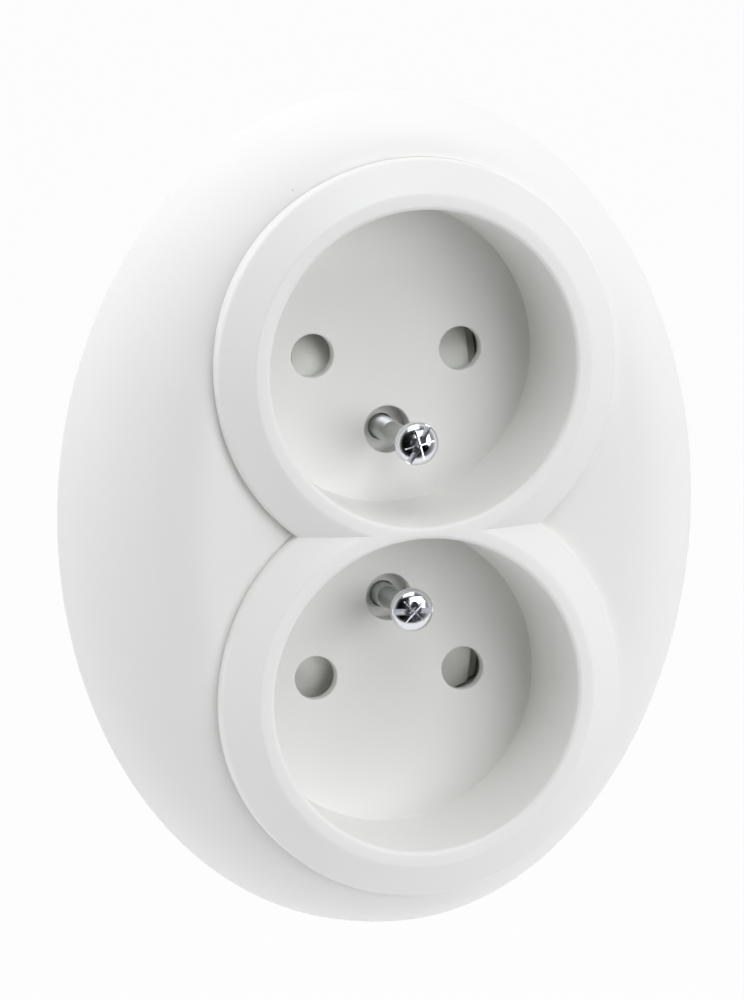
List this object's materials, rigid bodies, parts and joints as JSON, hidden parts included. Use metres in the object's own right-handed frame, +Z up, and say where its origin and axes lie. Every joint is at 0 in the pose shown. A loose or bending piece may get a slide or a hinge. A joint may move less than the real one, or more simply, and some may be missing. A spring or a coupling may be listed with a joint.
{
  "type": "double wall socket",
  "caption": "Domed oval wall socket with round wells one above the other, sprung shutters behind the pin holes, part-driven cover screws and a flush-box mechanism.",
  "frame": {"origin": "centre of the box screw pattern, on the wall's face", "axes": "+X to the right, +Y into the wall, +Z up; the sockets face -Y"},
  "size_m": [0.0822, 0.0445, 0.1046],
  "materials": {
    "white_plastic": "satin white moulding",
    "base_plastic": "matt off-white moulding",
    "shutter_plastic": "matt pale grey moulding",
    "zinc_steel": "bright zinc plate",
    "brass": "rolled brass",
    "spring_steel": "spring steel strip"
  },
  "bodies": {
    "housing": {"outer_frame": "white_plastic", "socket_insert": "white_plastic", "upper_shutter_tray": "base_plastic", "lower_shutter_tray": "base_plastic", "upper_shutter_spring": "spring_steel", "lower_shutter_spring": "spring_steel", "socket_base": "base_plastic", "mounting_plate": "zinc_steel", "plate_rivets": "zinc_steel", "upper_cover_bush": "brass", "lower_cover_bush": "brass", "left_contact": "brass", "right_contact": "brass", "left_terminal_block": "brass", "right_terminal_block": "brass", "left_terminal_screws": "zinc_steel", "right_terminal_screws": "zinc_steel"},
    "upper_shutter": {"upper_shutter": "shutter_plastic"},
    "lower_shutter": {"lower_shutter": "shutter_plastic"},
    "upper_cover_screw": {"upper_cover_screw": "zinc_steel"},
    "lower_cover_screw": {"lower_cover_screw": "zinc_steel"}
  },
  "joints": [
    {"name": "upper_shutter_slide", "type": "slide", "parent": "housing", "child": "upper_shutter", "axis": [0, 0, -1], "range_m": [0, 0.00615], "stiffness_N_per_m": 60, "springref_m": -0.006, "deforming": ["upper_shutter_spring"]},
    {"name": "lower_shutter_slide", "type": "slide", "parent": "housing", "child": "lower_shutter", "axis": [0, 0, 1], "range_m": [0, 0.00615], "stiffness_N_per_m": 60, "springref_m": -0.006, "deforming": ["lower_shutter_spring"]},
    {"name": "upper_screw_drive", "type": "slide", "parent": "housing", "child": "upper_cover_screw", "axis": [0, 1, 0], "range_m": [0, 0.0143]},
    {"name": "lower_screw_drive", "type": "slide", "parent": "housing", "child": "lower_cover_screw", "axis": [0, 1, 0], "range_m": [0, 0.0116]}
  ]
}
